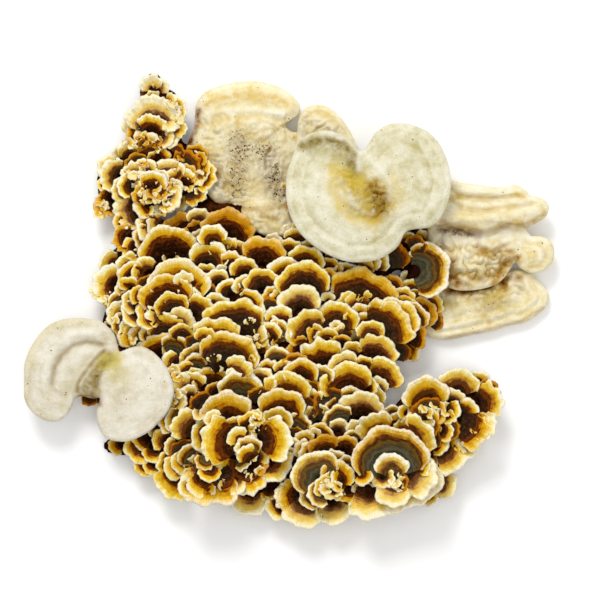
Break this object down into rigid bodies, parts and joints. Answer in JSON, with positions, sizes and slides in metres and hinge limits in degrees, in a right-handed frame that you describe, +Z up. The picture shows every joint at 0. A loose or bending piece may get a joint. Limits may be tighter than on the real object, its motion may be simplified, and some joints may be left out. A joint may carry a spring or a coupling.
{
  "type": "turkey tail fungus",
  "caption": "Dried clump of golden, zoned turkey tail shelves and rosettes with pale velvety brackets grown onto it, cut off flat beneath.",
  "frame": {"origin": "middle of the clump's box, on the flat cut it rests on", "axes": "+X to the right of the clump as pictured, along its longest side; +Z up from the cut, along its shortest side"},
  "size_m": [0.2664, 0.2306, 0.039],
  "materials": {
    "golden_shelf": "dry, velvety and leathery, in zones of cream, gold, brown and olive",
    "pale_bracket": "dry, felted, cream to greenish white"
  },
  "bodies": {
    "root": {"turkey_tail_cluster": "golden_shelf", "heart_bracket": "pale_bracket", "upper_bracket": "pale_bracket", "small_bracket": "pale_bracket", "twin_bracket": "pale_bracket", "folded_bracket": "pale_bracket", "lower_bracket": "pale_bracket"}
  },
  "joints": []
}
